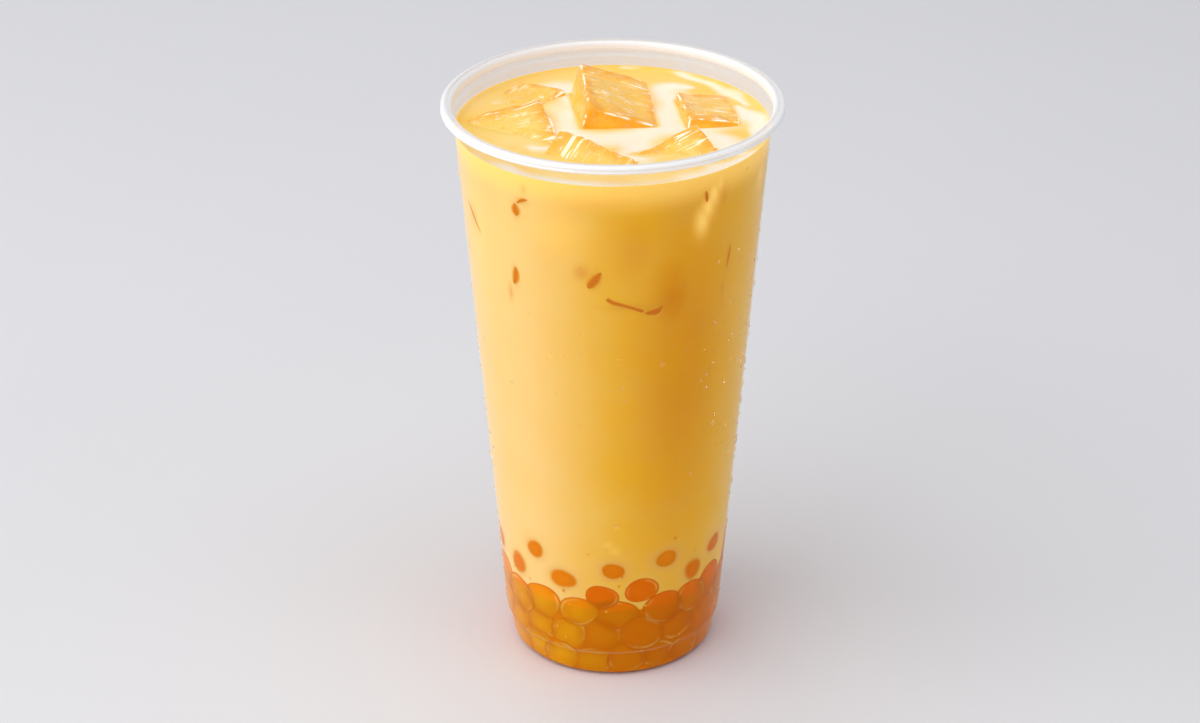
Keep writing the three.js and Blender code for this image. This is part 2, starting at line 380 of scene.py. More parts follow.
underside = straight([[0, RECESS_DEPTH], [RECESS_RADIUS, RECESS_DEPTH],
                      [FOOT_INNER_RADIUS, 0], [FOOT_RADIUS, 0]], WALL_STEP)
heel = curve([[FOOT_RADIUS, 0], [30.15, 0.7], [30.45, 2.5], [30.8, 5], [31.2, 7.4],
              [31.45, 8.5], [SHOULDER_RADIUS, SHOULDER_HEIGHT]], HEEL_PARTS)
outside = straight([[SHOULDER_RADIUS, SHOULDER_HEIGHT], [ledge_radius, LEDGE_HEIGHT]], WALL_STEP)
rim = curve([[ledge_radius, LEDGE_HEIGHT], [ledge_radius + 0.55, LEDGE_HEIGHT + 0.3],
             [ledge_radius + 0.9, LEDGE_HEIGHT + 1.1], [ledge_radius + 1.3, LEDGE_HEIGHT + 1.7],
             [RIM_RADIUS - 0.8, CUP_HEIGHT - 2.3], [RIM_RADIUS - 0.1, CUP_HEIGHT - 2.05],
             [RIM_RADIUS, CUP_HEIGHT - 1.65], [RIM_RADIUS - 0.22, CUP_HEIGHT - 1.25],
             [RIM_RADIUS - 0.04, CUP_HEIGHT - 0.8], [RIM_RADIUS - 0.4, CUP_HEIGHT - 0.25],
             [RIM_RADIUS - 1.2, CUP_HEIGHT], [RIM_RADIUS - 2.1, CUP_HEIGHT - 0.02],
             [RIM_RADIUS - 2.9, CUP_HEIGHT - 0.45], [RIM_RADIUS - 3.3, CUP_HEIGHT - 1.3],
             [ledge_radius - 0.1, LEDGE_HEIGHT + 1.1], [ledge_radius - 0.3, LEDGE_HEIGHT + 0.4],
             [ledge_radius - WALL, LEDGE_HEIGHT]], RIM_PARTS)
inside = straight([[ledge_radius - WALL, LEDGE_HEIGHT],
                   [SHOULDER_RADIUS - WALL, SHOULDER_HEIGHT]], WALL_STEP)
inner_heel = straight(np.stack([HEEL_INSIDE, HEEL_HEIGHTS], axis=1)[::-1], HEEL_STEP)
inner_floor = straight([[HEEL_INSIDE[0], WALL], [FOOT_INNER_RADIUS + FLOOR_BEND, WALL],
                        [RECESS_RADIUS + FLOOR_BEND, RECESS_DEPTH + WALL],
                        [0, RECESS_DEPTH + WALL]], WALL_STEP)
cup_profile = np.vstack([underside[:-1], heel[:-1], outside[:-1], rim[:-1], inside[:-1],
                         inner_heel[:-1], inner_floor])
cup_angles = np.linspace(0, 360, CUP_COLUMNS, endpoint=False)
cup_mesh = make_mesh("cup_shell", turned(cup_profile, cup_angles),
                     grid_faces(len(cup_profile), CUP_COLUMNS))
print("cup profile has", len(cup_profile), "rows")

# %% [markdown]
# Clear plastic seen square on lets nearly all light through, and seen along its surface it
# turns white and glossy. A mix of clear and white gloss does that. The share of white is the
# haze in the plastic, more in the thick rim and less along its groove, plus a veil that rises
# with the fifth power of the slant up to a limit, as the photograph's edges do. Above the tea
# a thin creamy film is left on the back of the wall from filling the cup. The Fresnel node
# gives a like veil from outside, but from inside it shuts the light in, as a thick block would
# and a thin wall doesn't. Glass that bends light would be slower and noisier.

# %% Cup finish
RIM_HAZE = 0.8
GROOVE_CLEARING = 0.62
GROOVE_INSET, GROOVE_REACH = 1.75, 0.95
FILM_HAZE = 0.24
FILM_AT_FRONT = 0.12
FILM_FRONT, FILM_BACK = -18, 22  # the film grows from the one y to the other
CREASE_HAZE = 0.08
CREASE_REACH = 0.45
SQUARE_ON_SHARE = 0.001
GLANCE_SHARE = 2.0
GLANCE_LIMIT = 0.22
PLASTIC_WHITE = shade(251, 252, 254)
FILM_CREAM = shade(255, 242, 220)

plastic = Finish("clear_plastic")
height = plastic.node("ShaderNodeSeparateXYZ", {}, {0: plastic.place()}, output=2)
backward = plastic.node("ShaderNodeSeparateXYZ", {}, {0: plastic.place()}, output=1)
in_rim = plastic.node("ShaderNodeMapRange", {"interpolation_type": "SMOOTHSTEP"},
                      {"Value": height, "From Min": (LEDGE_HEIGHT + 1.2) * MM,
                       "From Max": (LEDGE_HEIGHT + 2.6) * MM})
mist = plastic.noise(7, detail=2)
above_tea = plastic.node("ShaderNodeMapRange", {"interpolation_type": "SMOOTHSTEP"},
                         {"Value": height, "From Min": (TEA_LEVEL + 0.6) * MM,
                          "From Max": (TEA_LEVEL + 1.6) * MM})
at_back = plastic.rise(backward, FILM_FRONT * MM, FILM_BACK * MM)
at_back = at_back * (1 - FILM_AT_FRONT) + FILM_AT_FRONT
film = above_tea * (1 - in_rim) * (mist * 0.5 + 0.75) * at_back
reach = plastic.node("ShaderNodeVectorMath", {"operation": "LENGTH"},
                     {0: plastic.place((1, 1, 0))}, output=1)
groove = plastic.near(reach, (RIM_RADIUS - GROOVE_INSET) * MM, GROOVE_REACH * MM)
crease = plastic.near(height, (SHOULDER_HEIGHT + 0.2) * MM, CREASE_REACH * MM)
haze = in_rim * (RIM_HAZE - groove * GROOVE_CLEARING) + film * FILM_HAZE
haze = haze + crease * CREASE_HAZE + mist * 0.002
glance = plastic.node("ShaderNodeLayerWeight", {}, {"Blend": 0.5}, output=1)
veil = (glance ** 5 * GLANCE_SHARE).clipped() * GLANCE_LIMIT
white_share = (haze + SQUARE_ON_SHARE + veil).clipped()
white = plastic.mix(film.clipped(), PLASTIC_WHITE, FILM_CREAM)
plastic.finish_with(plastic.blend(
    white_share,
    plastic.clear((0.99, 0.99, 0.99, 1)),
    plastic.surface(Base_Color=white, Roughness=0.18 + mist * 0.06, IOR=1.5)))
show_piece("cup_shell", cup_mesh, plastic, ["cup"])

# %% [markdown]
# The ice blocks are worn cubes. Each is a box whose edges are rounded: a point of the box is
# pulled to the nearest point of a smaller inner box, and put back out from it by the rounding
# radius. Waves along that direction make the faces uneven, as melting does. The places, sizes
# and turns are those of the CAD blocks, except that the back block stands 1.3 mm higher and
# 0.1 mm to the right and is 2.4 mm longer towards the front, and the right block stands 1.1 mm
# higher, so that as much of their front faces shows as in the photograph.

# %% Ice shape
ICE_CELLS = 26
ICE_ROUNDING = 1.1
ICE_NARROWING = 0.05
ICE_CLEARANCE = 0.15  # gap between blocks and to the wall, and a block's bite into its bed
ICE_BLOCKS = {
    # middle, lengths of the sides, turns in degrees
    "ice_back": ([-2.0, 12.1, 156.4], [20, 26, 22.4], [4, 20, 6]),
    "ice_left": ([-27.5, -2.9, 154.1], [23, 22, 17], [15, -9, -164]),
    "ice_right": ([25.5, 9.2, 155.1], [14.4, 20.4, 18], [-3, 8, 9]),
    "ice_front_left": ([-7.8, -23.4, 154], [19.6, 24, 14], [32, -11, -121]),
    "ice_front_right": ([18, -20.2, 154.2], [23, 20, 13.5], [29, -2, -149]),
    "ice_rear_left": ([-24, 21.6, 155.3], [15, 15, 14], [3, -4, -124]),
}


def cube_grids(cells):
    """Six square grids that cover the cube from -1 to 1, denser near its edges: along a side
    the place is sin(t) for t from -90 to 90 degrees. The turn of the three axes keeps every
    grid facing outwards."""
    side = np.sin(np.linspace(-np.pi / 2, np.pi / 2, cells + 1))
    u, v = np.meshgrid(side, side, indexing="ij")
    grids = []
    for axis in range(3):
        for sign in (-1, 1):
            parts = [None, None, None]
            parts[axis] = np.full_like(u, sign)
            parts[(axis + 1) % 3] = u if sign > 0 else v
            parts[(axis + 2) % 3] = v if sign > 0 else u
            grids.append(np.stack(parts, axis=-1))
    return np.stack(grids)


def square_faces(cells, copies):
    """Faces of open square grids, one after another."""
    row, column = np.meshgrid(np.arange(cells), np.arange(cells), indexing="ij")
    start = row * (cells + 1) + column
    cell = np.stack([start, start + cells + 1, start + cells + 2, start + 1], axis=-1)
    steps = np.arange(copies) * (cells + 1) ** 2
    return (cell.reshape(1, -1, 4) + steps[:, None, None]).reshape(-1, 4)


def ice_mesh(name, grow=0.0, cells=ICE_CELLS):
    """A block, larger than true by `grow`; what would pass through the cup's wall is pulled
    in to it. Masks: `grain` is a point's place in the block's own axes, `lid` how far its face
    looks up, `rim` is 0 on the flat faces and 0.3 along the edges, and `margin` climbs from 0
    in the middle of a face to 1 at its sides."""
    centre, size, turn = ICE_BLOCKS[name]
    half = np.array(size) / 2 + grow
    rounding = ICE_ROUNDING + grow
    box = cube_grids(cells) * half
    core = np.clip(box, rounding - half, half - rounding)
    away = box - core
    away /= np.linalg.norm(away, axis=-1, keepdims=True)
    local = core + away * rounding
    draw = np.random.default_rng(len(name) * 7 + int(size[0]))
    melt = 0.28 * waves(local, 13, draw) + 0.1 * waves(local, 4.5, draw)
    local = local + away * melt[..., None]
    narrowing = 1 + ICE_NARROWING * local[..., 2:] / half[2]
    local[..., :2] *= narrowing
    world = local @ rotation_of(turn).T + centre
    reach = np.hypot(world[..., 0], world[..., 1])
    limit = inner_wall(world[..., 2]) - ICE_CLEARANCE + min(grow, 0)
    world[..., :2] *= np.minimum(1, limit / reach)[..., None]
    masks = {"grain": local * MM, "rim": 1 - np.abs(away).max(axis=-1),
             "lid": (away @ rotation_of(turn).T)[..., 2],
             "margin": np.sort(np.abs(local) / half, axis=-1)[..., 1]}
    return make_mesh(name + "_block", world, square_faces(cells, 6), masks)


def rotation_of(turn):
    """The turn about X, then Y, then Z of the block's own axes, as one matrix Rx Ry Rz."""
    x, y, z = np.radians(turn)
    about_x = [[1, 0, 0], [0, np.cos(x), -np.sin(x)], [0, np.sin(x), np.cos(x)]]
    about_y = [[np.cos(y), 0, np.sin(y)], [0, 1, 0], [-np.sin(y), 0, np.cos(y)]]
    about_z = [[np.cos(z), -np.sin(z), 0], [np.sin(z), np.cos(z), 0], [0, 0, 1]]
    return np.array(about_x) @ np.array(about_y) @ np.array(about_z)


def cut(mesh, cutters):
    """Takes the cutters' volume out of a closed mesh with Boolean modifiers, and returns the
    result as a new mesh."""
    body = add_object("body_to_cut", mesh)
    tools = [add_object("cutter", cutter) for cutter in cutters]
    for tool in tools:
        modifier = body.modifiers.new("cut", "BOOLEAN")
        modifier.operation, modifier.solver, modifier.object = "DIFFERENCE", "MANIFOLD", tool
    bpy.context.view_layer.update()
    evaluated = body.evaluated_get(bpy.context.evaluated_depsgraph_get())
    result = bpy.data.meshes.new_from_object(evaluated)
    for thing in [body, *tools]:
        bpy.data.objects.remove(thing)
    smooth(result)
    return result


ice_names = list(ICE_BLOCKS)
ice_grown = {name: ice_mesh(name, grow=ICE_CLEARANCE, cells=14) for name in ice_names}
ice_meshes = {}
for number, name in enumerate(ice_names):
    whole = ice_mesh(name)
    earlier = [ice_grown[other] for other in ice_names[:number]]
    ice_meshes[name] = cut(whole, earlier) if earlier else whole
print("ice blocks:", {name: len(mesh.vertices) for name, mesh in ice_meshes.items()})

# %% [markdown]
# The ice looks like amber jelly: it holds some of the tea's colour. So most of it is a coloured
# body with a faint painted glow, standing for light from elsewhere that comes out of it, and a
# small share refracts. Its upper faces are painted paler, as faces lit from above, and its sides
# are deeper where the tea shows through. Fine white lines along the block, strongest on its
# upper faces, and broken white lines along its worn edges are painted highlights, and glow a
# little more. To lamps the ice is mostly a tinted clear film, so that they light the tea below
# without waiting for rays to find a way round.

# %% Ice finish
# Upper faces are painted paler, as faces lit from above; the sides are deeper amber where the tea
# shows through them.
ICE_SIDE = shade(254, 194, 56)
ICE_LID = shade(255, 202, 88)
ICE_PALE = shade(255, 228, 160)
ICE_GLINT = shade(255, 250, 232)
ICE_DEEP = shade(244, 170, 30)
ICE_GLOW = 0.4

ice = Finish("ice")
lines = ice.noise(1.1, detail=4, stretch=(0.12, 1, 1), attribute="grain", distortion=0.9)
dents = ice.noise(3.2, detail=3, attribute="grain")
cloud = ice.noise(6, detail=2, attribute="grain")
folds = ice.noise(3.0, detail=4, stretch=(0.35, 1, 1), attribute="grain", distortion=1.6)
lid = ice.rise(ice.mask("lid"), 1 / 3, 2 / 3)
tint = ice.mix(lid, ICE_SIDE, ICE_LID)
tint = ice.mix(ice.rise(cloud, 0.55, 0.8) * 0.6, tint, ICE_PALE)
tint = ice.mix((ice.mask("margin") * 3 + cloud * 3 - 3.4).clipped() * 0.85, tint, ICE_DEEP)
tint = ice.mix(ice.rise(lines, 0.36, 0.26) * 0.35, tint, ICE_DEEP)
# Painted highlights: thin white lines along the block, strongest on its upper faces, and broken
# white lines along its worn edges.
glint_line = ice.near(folds, 0.52, 0.02) * ice.rise(dents, 0.517, 0.683)
edge = ice.rise(ice.mask("rim"), 0.086, 0.229)
painted_glints = glint_line * (lid * 0.6 + 0.25) + ice.rise(lines, 0.586, 0.657) * (lid * 0.7 + 0.1)
painted_glints = (painted_glints + edge * ice.rise(dents, 0.457, 0.6)).clipped() * 0.95
tint = ice.mix(painted_glints, tint, ICE_GLINT)
# A painted glow: the ice glows faintly in its own colour, and more along the painted white lines.
painted_glow = ice.mix(painted_glints * 0.6, ice.mix(0.65, tint, BLACK), ICE_GLINT)
relief = ice.bump(lines * 0.3 + dents * 2, 0.5)
wet = ice.surface(Base_Color=tint, Roughness=0.08, IOR=1.31, Transmission_Weight=0.12,
                  Subsurface_Weight=0.4, Subsurface_Radius=(1.0, 0.7, 0.3),
                  Subsurface_Scale=0.002, Emission_Color=painted_glow, Emission_Strength=ICE_GLOW,
                  Coat_Weight=0.3, Coat_Roughness=0.06, Normal=relief)
for_lamps = ice.node("ShaderNodeLightPath", output=1)
ice.finish_with(ice.blend(for_lamps * 0.85, wet, ice.clear(shade(255, 240, 200))))
for name, mesh in ice_meshes.items():
    show_piece(name.replace("ice", "block"), mesh, ice, [name])

# %% [markdown]
# The tea is opaque, so it is one closed body. It fills the cup to just inside the plastic, with no
# air gap, climbs a little at the wall, and has a bed cut out for each ice block, a hair
# smaller than the block, so that the ice looks dipped in it. The grid is finest where the
# wall shows pearls and ice, and round the front.

# %% Tea shape
TEA_BITE = 0.5
MENISCUS_WIDTH = 0.9
SWELL, SWELL_SIZE = 0.16, 17
FRONT_COLUMNS, BACK_COLUMNS, TOP_RINGS = 300, 100, 49
PEARL_ZONE_TOP, ICE_ZONE_FOOT = 50, 116
PEARL_STEP, PLAIN_STEP, ICE_STEP = 0.55, 1.8, 0.75
tea_angles = np.concatenate([np.linspace(-100, 100, FRONT_COLUMNS, endpoint=False),
                             np.linspace(100, 260, BACK_COLUMNS, endpoint=False)])
tea_heights = np.concatenate([np.arange(HEAP_TOP, PEARL_ZONE_TOP, PEARL_STEP),
                              np.arange(PEARL_ZONE_TOP, ICE_ZONE_FOOT, PLAIN_STEP),
                              np.arange(ICE_ZONE_FOOT, TEA_LEVEL + MENISCUS, ICE_STEP)])
tea_wall = np.stack([inner_wall(tea_heights) + TEA_BITE, tea_heights], axis=1)
tea_edge = float(inner_wall(TEA_LEVEL + MENISCUS)) + TEA_BITE
top_radii = tea_edge * np.linspace(1, 0, TOP_RINGS) ** 0.8
climb = MENISCUS * np.exp((top_radii - tea_edge) / MENISCUS_WIDTH)
top_profile = np.stack([top_radii, TEA_LEVEL + climb], axis=1)
tea_profile = np.vstack([[[0, HEAP_TOP]], tea_wall, top_profile])
tea_points = turned(tea_profile, tea_angles)
on_top = tea_points[..., 2] > TEA_LEVEL - 0.5
calm = fade(tea_edge - np.hypot(tea_points[..., 0], tea_points[..., 1]), 0.5, 3)
swell = SWELL * waves(tea_points[..., :2], SWELL_SIZE, np.random.default_rng(4))
tea_points[..., 2] += np.where(on_top, swell * calm, 0)
tea_whole = make_mesh("tea_body", tea_points, grid_faces(len(tea_profile), len(tea_angles)))
beds = [ice_mesh(name, grow=-ICE_CLEARANCE, cells=20) for name in ice_names]
tea_mesh = cut(tea_whole, beds)
print("tea body has", len(tea_mesh.vertices), "points")

# %% [markdown]
# The pearls. Where the loose ones press on the wall they show as soft discs, and the heap
# below shows as crowded larger ones in amber syrup. The loose ones stand where the CAD's do.
# The heap's front ones are placed from the photograph, and those round the back stand
# in three rows at about the heights of the CAD's rows.

# %% Pearl places
LOOSE_FRONT_SIZES = [  # half width and half height of each
    (3.2, 3.2), (3.3, 3.8), (2.9, 3.0), (4.4, 3.5), (3.8, 3.3), (4.0, 3.2), (3.4, 3.5), (3.6, 3.1),
]
loose_names = sorted(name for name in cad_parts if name.startswith("pearl_0")
                     or name.startswith("pearl_1"))


def place_of(node):
    """Angle and height of the middle of a CAD node's box."""
    low, high = (np.array(corner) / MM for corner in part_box(node))
    x, y, z = (low + high) / 2
    return np.degrees(np.arctan2(x, -y)), z


loose_places = np.array([place_of(name) for name in loose_names])
# The front pearls on the right take little yellow, and their deeper colour serves there also as
# painted shade on the side away from the key lamp.
HEAP_FRONT = [
    # angle, height, half width, half height, share of yellow
    (-38.8, 23.3, 6.2, 6.2, 0.9), (-17.9, 23.0, 6.2, 5.0, 0.8), (1.6, 22.4, 7.0, 5.8, 0.3),
    (-5.5, 29.0, 4.6, 4.3, 0.0), (14.6, 31.0, 4.8, 4.3, 0.0), (27.0, 23.2, 6.8, 5.6, 0.05),
    (15.5, 15.4, 6.4, 6.4, 0.1), (-7.0, 15.4, 6.8, 6.2, 0.3), (-23.4, 14.9, 5.6, 5.6, 0.9),
    (-55.5, 21.4, 6.0, 6.4, 0.7), (59.5, 25.4, 6.2, 5.8, 0.0), (44.4, 23.8, 6.0, 5.6, 0.1),
    (-44.1, 7.2, 6.4, 5.4, 1.0), (-29.5, 5.6, 6.0, 5.2, 1.0), (-10.9, 5.6, 6.8, 5.4, 0.7),
    (7.7, 6.4, 6.2, 5.6, 0.3), (25.0, 6.8, 6.0, 5.4, 0.2), (43.0, 5.8, 6.2, 5.4, 0.1),
    (35.0, 16.0, 6.0, 5.8, 0.05), (54.0, 14.8, 6.6, 6.4, 0.0), (-41.0, 14.2, 5.8, 5.8, 0.8),
    (-59.0, 12.4, 6.2, 6.0, 0.7), (-74.5, 24.4, 6.0, 6.0, 0.5), (-75.5, 15.5, 6.2, 6.2, 0.6),
    (-62.0, 4.9, 6.0, 5.2, 0.7), (62.0, 5.0, 6.2, 5.4, 0.1), (73.0, 19.5, 6.2, 6.4, 0.2),
]
HEAP_BACK_ROWS = [6.0, 14.4, 22.6]
HEAP_BACK_PITCH = 18  # degrees from one pearl to the next
HEAP_BACK_CREST = [86, 118, 152, 195, 232, 262]
CREST_HEIGHT = 28.5
heap_draw = np.random.default_rng(11)


def heap_back():
    """Rows of pearls round the back, each row shifted by half a pearl, and a few that stand
    higher, every one moved a little at random."""
    half_pitch = HEAP_BACK_PITCH / 2
    rows = [(angle, height) for row, height in enumerate(HEAP_BACK_ROWS)
            for angle in np.arange(80 + half_pitch * (row % 2), 274, HEAP_BACK_PITCH)]
    rows += [(angle, CREST_HEIGHT) for angle in HEAP_BACK_CREST]
    places = np.array(rows, float)
    places += heap_draw.normal(0, [1.6, 0.7], places.shape)
    # half width, half height and share of yellow of each
    sizes_and_tone = heap_draw.uniform([5.8, 5.4, 0.1], [7.2, 7.0, 0.6], (len(places), 3))
    return np.hstack([places, sizes_and_tone])


heap_places = np.vstack([HEAP_FRONT, heap_back()])
print(len(loose_places), "loose pearls and", len(heap_places), "in the heap")

# %% [markdown]
# A pressed pearl is a grid of rings round a pole. The first rings lie on the wall and sink
# away from it as the square of the distance from the middle, so two neighbours meet in a
# crease half way, as the real ones do. The last rings are the round back of the pearl.

# %% Pearl shape
PEARL_COLUMNS = 36
SYRUP_COLUMNS = 200
SYRUP_BITE = 0.53
SYRUP_SINK = 0.2  # the syrup reaches this far into the cup's floor
# how far a pearl bites into the wall, sinks away from it at its outline, and reaches inwards
LOOSE_PROUD, LOOSE_SAG, LOOSE_DEPTH = 0.62, 0.13, 6.5
HEAP_PROUD, HEAP_SAG, HEAP_DEPTH = 0.67, 0.06, 6


def pressed_pearls(places, proud, sag, depth, draw):
    """Rings at a share q of each pearl's own outline lie `proud - sag q^2` outside the inner
    wall; behind the outline the pearl is half an ellipsoid of the given depth."""
    spread = np.concatenate([np.linspace(0, 1, 9), np.cos(np.radians([25, 50, 70, 90]))])
    sunk = np.concatenate([np.zeros(9), np.sin(np.radians([25, 50, 70, 90]))])
    spread[-1] = 0
    q, behind = spread[None, :, None], sunk[None, :, None]
    turn = -np.linspace(0, 2 * np.pi, PEARL_COLUMNS, endpoint=False)[None, None, :]
    angle, height, wide, tall = (places[:, i, None, None] for i in range(4))
    phases = draw.uniform(0, 2 * np.pi, (2, len(places), 1, 1))
    outline = 1 + 0.06 * np.sin(2 * turn + phases[0]) + 0.035 * np.sin(3 * turn + phases[1])
    across = wide * q * outline * np.cos(turn)
    up = tall * q * outline * np.sin(turn)
    up = np.maximum(up, 1.2 - height)
    proud = proud + draw.uniform(-0.05, 0.05, (len(places), 1, 1))
    out = proud - sag * q ** 2
    lift = np.where(behind > 0, proud - sag - depth * behind, out)
    points = by_wall(inner_wall, angle, height, across, up, lift)
    edge = np.where(behind > 0, 1, np.broadcast_to(q, lift.shape)) + 0 * turn
    tone = places[:, 4, None, None] + 0 * edge
    faces = grid_faces(len(spread), PEARL_COLUMNS, len(places))
    return points, faces, {"edge": edge, "tone": tone}


# half width, half height and tone of each loose pearl
loose_sizes = heap_draw.uniform([3.3, 2.8, 0], [4.3, 3.6, 1], (len(loose_places), 3))
loose_sizes[:len(LOOSE_FRONT_SIZES), :2] = LOOSE_FRONT_SIZES
loose_shape = np.hstack([loose_places, loose_sizes])
loose_mesh = make_mesh("loose_pearls", *pressed_pearls(
    loose_shape, LOOSE_PROUD, LOOSE_SAG, LOOSE_DEPTH, heap_draw))

syrup_low, syrup_high = WALL - SYRUP_SINK, RECESS_DEPTH + WALL - SYRUP_SINK
syrup_heights = np.arange(1.0, HEAP_TOP + 1, 0.8)
syrup_profile = np.vstack([
    straight([[0, syrup_high], [26.0, syrup_high], [27.2, syrup_low], [29.1, syrup_low]], 3),
    np.stack([inner_wall(syrup_heights) + SYRUP_BITE, syrup_heights], axis=1),
    [[0, HEAP_TOP + 0.6]]])
syrup_angles = np.linspace(0, 360, SYRUP_COLUMNS, endpoint=False)
syrup_points = turned(syrup_profile, syrup_angles)
pearl_points, pearl_faces, pearl_masks = pressed_pearls(
    heap_places, HEAP_PROUD, HEAP_SAG, HEAP_DEPTH, heap_draw)
syrup_count = syrup_points.reshape(-1, 3).shape[0]
heap_points = np.vstack([syrup_points.reshape(-1, 3), pearl_points.reshape(-1, 3)])
heap_faces = np.vstack([grid_faces(len(syrup_profile), SYRUP_COLUMNS), pearl_faces + syrup_count])
heap_masks = {"edge": np.concatenate([np.full(syrup_count, 0.5), pearl_masks["edge"].ravel()]),
              "tone": np.concatenate([np.full(syrup_count, 0.3), pearl_masks["tone"].ravel()])}
heap_mesh = make_mesh("pearl_pile", heap_points, heap_faces, heap_masks)

# %% [markdown]
# Pearls are boiled tapioca in syrup: soft, amber, and clear enough to glow, which a faint
# painted glow stands for. Their middles are lighter and yellower, the seams between them darker
# and redder, and here and there a thin pale ring just inside the outline is a painted highlight.
# The loose ones turn paler at the edge, where the milky tea closes round them. Light that goes a
# little way into them before it comes out (subsurface) keeps them from looking painted.

# %% Pearl finishes
AMBER_LIGHT = shade(232, 112, 2)
AMBER_YELLOW = shade(252, 164, 10)
AMBER_DEEP = shade(230, 108, 2)
AMBER_SEAM = shade(226, 108, 2)
AMBER_PAINTED_GLINT = shade(253, 188, 84)
AMBER_GLOW = 0.015
LOOSE_MIDDLE = shade(230, 122, 3)
LOOSE_PALE = shade(240, 144, 18)
LOOSE_DEEP = shade(220, 108, 2)
LOOSE_EDGE = shade(240, 160, 50)


def amber(name, middle, yellow, deep, seam, seam_from, depth=3.0):
    """Tapioca that passes from a light middle to a deep edge, and from the share of the
    outline where the seam starts to the seam's colour at the outline. `depth` is how far
    light goes in, in millimetres."""
    finish = Finish(name)
    edge, tone = finish.mask("edge"), finish.mask("tone")
    blotch = finish.noise(4.5, detail=3)
    heart = finish.mix((tone * 0.9 + blotch * 0.6 - 0.3).clipped(), middle, yellow)
    body = finish.mix((edge * 0.5 + blotch * 0.8 - 0.4).clipped(), heart, deep)
    seamed = finish.mix(finish.rise(edge, seam_from, 1.02), body, seam)
    # A painted highlight: a thin pale ring just inside the outline, here and there.
    painted_glint = finish.rise(edge, 0.733, 0.844) * finish.rise(edge, 0.956, 0.844)
    sparse = finish.rise(finish.noise(6, detail=2), 0.45, 0.617)
    seamed = finish.mix(painted_glint * sparse * 0.6, seamed, AMBER_PAINTED_GLINT)
    relief = finish.bump(finish.noise(1.6, detail=3), 0.03)
    # A faint painted glow in the surface's own colour.
    skin = finish.surface(Base_Color=seamed, Roughness=0.35 + blotch * 0.15, IOR=1.08,
                          Subsurface_Weight=0.35, Subsurface_Radius=(1.0, 0.45, 0.1),
                          Subsurface_Scale=depth * MM, Emission_Color=seamed,
                          Emission_Strength=AMBER_GLOW, Normal=relief)
    return finish.finish_with(skin)


heap_amber = amber("heap_amber", AMBER_LIGHT, AMBER_YELLOW, AMBER_DEEP, AMBER_SEAM, 0.9)
loose_amber = amber("loose_amber", LOOSE_MIDDLE, LOOSE_PALE, LOOSE_DEEP, LOOSE_EDGE, 0.72)
show_piece("pearl_pile", heap_mesh, heap_amber, ["pearl_heap"])
show_piece("loose_pearls", loose_mesh, loose_amber, loose_names)

# %% [markdown]
# Ice that hangs below the surface touches the wall here and there, and shows as short amber
# streaks. Each is a narrow lens along a path, a hair proud of the tea, and its colour turns
# into the tea's towards its edges, which makes them soft.

# %% Sunken ice at the wall
STREAK_COLUMNS, STREAK_PARTS = 10, 7
STREAK_SPREAD = 1.6
STREAK_PROUD = 0.05
WALL_AT_ICE = 43  # about the wall's radius where the streaks are
SUNKEN_DEEP = shade(216, 120, 34)
SUNKEN_PALE = shade(222, 128, 38)
SUNKEN_EDGE = shade(226, 136, 44)
TEA_AROUND = shade(250, 184, 50)
STREAKS = [
    # points of [angle, height, half width]
    [(-37.6, 154.0, 0.15), (-37.5, 152.6, 0.9), (-37.2, 151.2, 0.9), (-37.0, 150.2, 0.2)],
    [(-36.6, 154.2, 0.15), (-34.4, 155.4, 0.4), (-31.7, 156.0, 0.12)],
    [(-39.6, 134.2, 0.2), (-39.5, 132.4, 0.75), (-39.9, 130.4, 0.8), (-41.0, 128.6, 0.3)],
    [(-68.9, 146.4, 0.1), (-65.5, 143.6, 0.35), (-59.4, 139.0, 0.12)],
    [(-4.3, 137.0, 0.2), (-6.2, 134.9, 1.0), (-8.4, 132.8, 0.9), (-9.2, 131.8, 0.15)],
    [(-2.4, 128.8, 0.45), (0.2, 127.6, 0.5), (6.0, 126.2, 0.4), (12.0, 124.4, 0.5)],
    [(12.4, 123.9, 0.25), (15.0, 123.9, 0.8), (17.4, 124.2, 0.95), (19.4, 125.6, 0.15)],
    [(50.0, 138.2, 0.1), (49.4, 135.4, 0.3), (48.6, 131.6, 0.14)],
    [(34.8, 158.2, 0.12), (35.4, 156.4, 0.45), (35.7, 154.6, 0.15)],
    [(118, 146, 0.2), (121, 143, 0.9), (123, 140, 0.2)],
    [(172, 138, 0.2), (176, 136, 0.7), (182, 135.4, 0.15)],
    [(226, 150, 0.15), (229, 146, 0.6), (230, 141, 0.15)],
]


def streak(path):
    """Rings across a path: each ring is a flat lens, cos and sin of an angle for its width and
    its height, and closes to a point at both ends."""
    line = curve(path, STREAK_PARTS)
    line[[0, -1], 2] = 0
    turn = np.linspace(0, 2 * np.pi, STREAK_COLUMNS, endpoint=False)[None, :]
    angle, height, half = (line[:, i, None] for i in range(3))
    along = np.gradient(line[:, :2], axis=0)
    along[:, 0] *= np.radians(1) * WALL_AT_ICE
    along /= np.linalg.norm(along, axis=1, keepdims=True)
    spread = STREAK_SPREAD * half * np.cos(turn)
    across, up = spread * -along[:, 1, None], spread * along[:, 0, None]
    lift = TEA_BITE + np.where(half > 0, STREAK_PROUD, -2 * STREAK_PROUD) * np.sin(turn)
    return by_wall(inner_wall, angle, height, across, up, lift), np.abs(np.cos(turn)) + 0 * half


